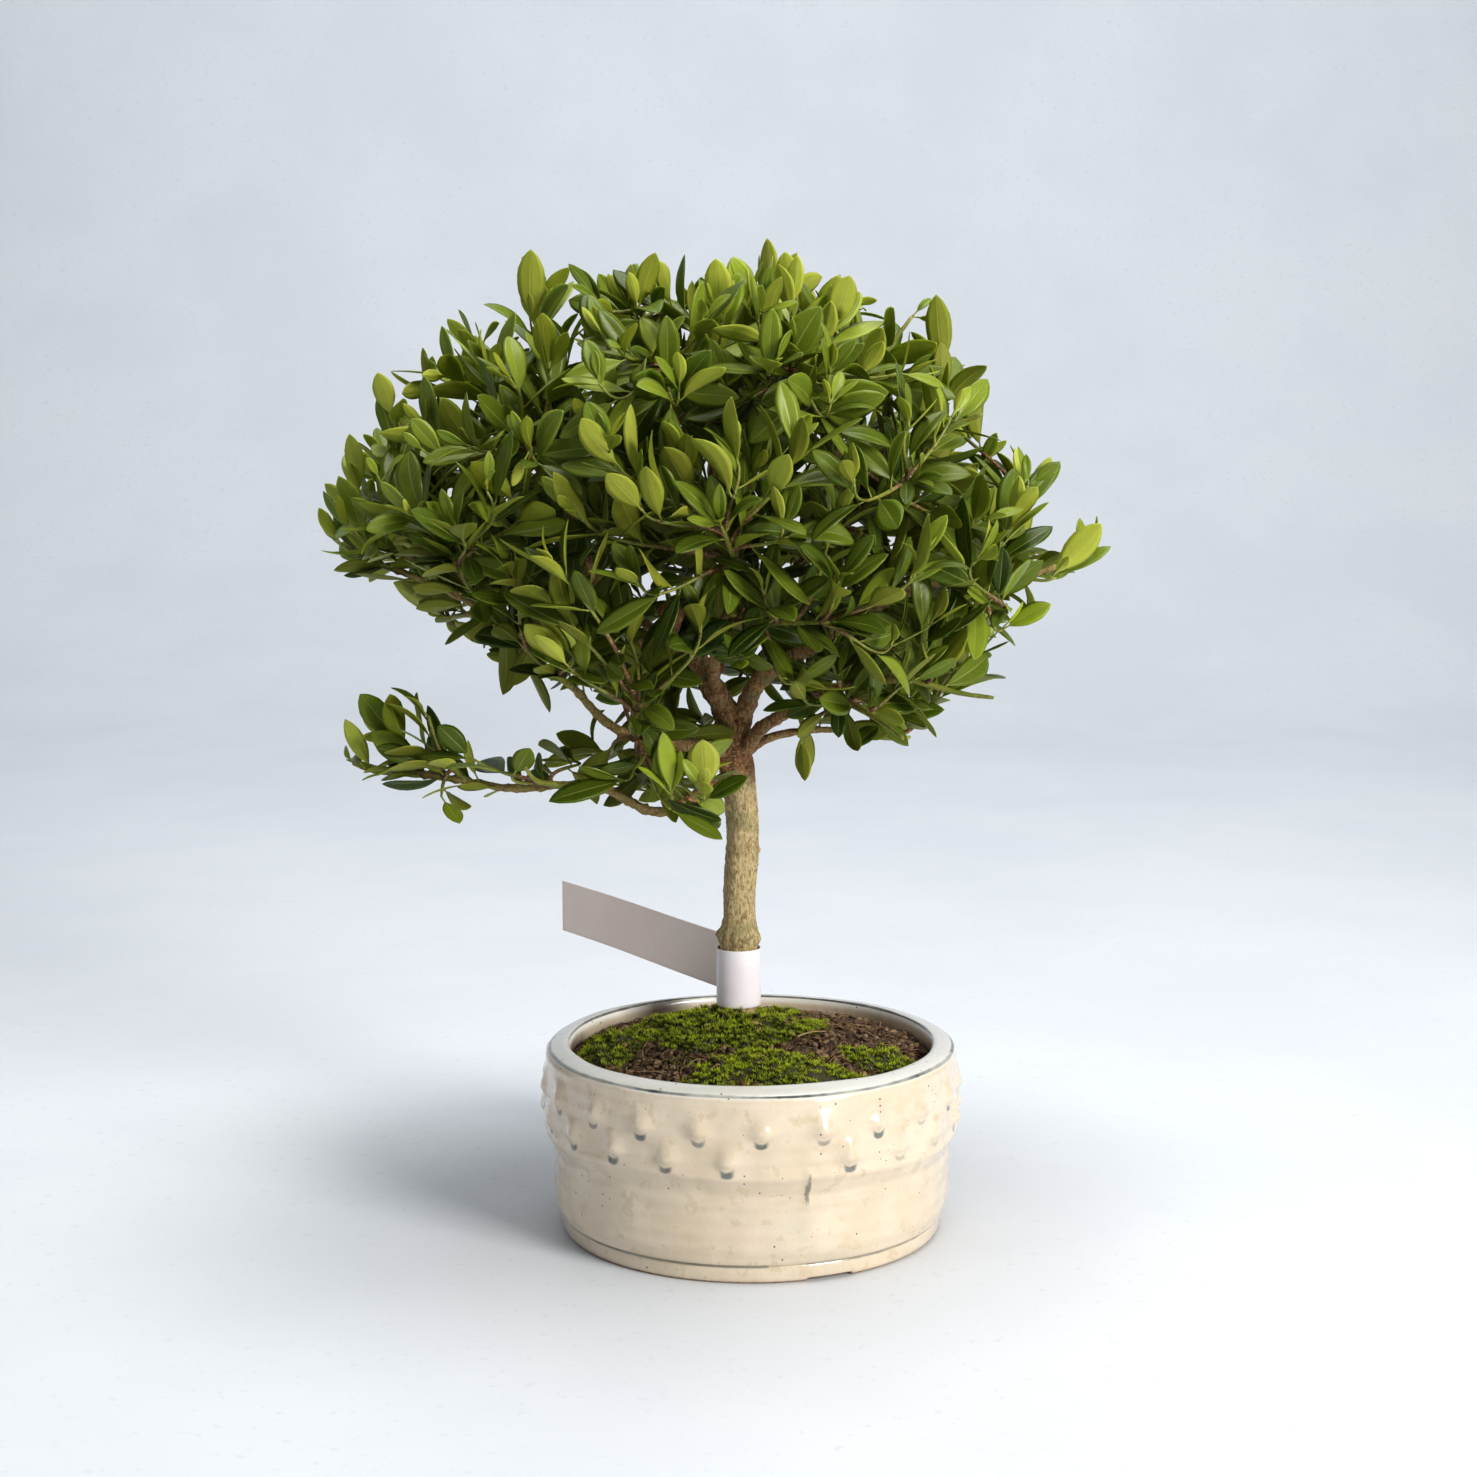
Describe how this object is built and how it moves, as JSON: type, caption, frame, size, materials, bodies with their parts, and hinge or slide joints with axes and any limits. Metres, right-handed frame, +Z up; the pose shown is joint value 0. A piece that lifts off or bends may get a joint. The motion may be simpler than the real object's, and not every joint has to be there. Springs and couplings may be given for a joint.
{
  "type": "bonsai tree in a pot",
  "caption": "Small broadleaf bonsai with a slim trunk and a domed leafy crown, set in soil and moss in a round glazed ceramic pot, with a bare paper label round its trunk.",
  "frame": {"origin": "centre of the flat underside of the pot, on the surface that the pot stands on", "axes": "+Z up along the pot's axis; the tree's front, which the picture shows, faces -Y, and +X is to the viewer's right"},
  "size_m": [0.3329, 0.3068, 0.4186],
  "materials": {
    "glaze": "glossy cream glaze with fine iron specks, brown where it breaks over edges",
    "soil": "loose dark brown bark and peat mix with fibres",
    "moss": "short soft tufts, dark to bright green",
    "bark": "matte tan and olive grey bark with fine lenticels",
    "leaf": "waxy dark green above, matte olive green below",
    "label": "smooth white coated paper strip, unprinted",
    "screen": "matte black coarse mesh"
  },
  "bodies": {
    "root": {"drain_screen_1": "screen", "drain_screen_2": "screen", "drain_screen_3": "screen", "label": "label", "limb_back": "bark", "limb_back_left": "bark", "limb_front": "bark", "limb_leader": "bark", "limb_left": "bark", "limb_left_long": "bark", "limb_left_upright": "bark", "limb_lower_left": "bark", "limb_lower_right": "bark", "limb_right": "bark", "limb_right_twig": "bark", "limb_right_upright": "bark", "limb_top": "bark", "moss_centre": "moss", "moss_front": "moss", "moss_left": "moss", "moss_right": "moss", "pot": "glaze", "soil": "soil", "spray_01": "leaf", "spray_02": "leaf", "spray_03": "leaf", "spray_04": "leaf", "spray_05": "leaf", "spray_06": "leaf", "spray_07": "leaf", "spray_08": "leaf", "spray_09": "leaf", "spray_10": "leaf", "spray_11": "leaf", "spray_12": "leaf", "spray_13": "leaf", "spray_14": "leaf", "spray_15": "leaf", "spray_16": "leaf", "spray_17": "leaf", "spray_18": "leaf", "spray_19": "leaf", "spray_20": "leaf", "spray_21": "leaf", "spray_22": "leaf", "spray_23": "leaf", "spray_24": "leaf", "spray_25": "leaf", "spray_26": "leaf", "spray_27": "leaf", "spray_28": "leaf", "spray_29": "leaf", "spray_30": "leaf", "spray_31": "leaf", "spray_32": "leaf", "spray_33": "leaf", "spray_34": "leaf", "spray_35": "leaf", "trunk": "bark"}
  },
  "joints": []
}
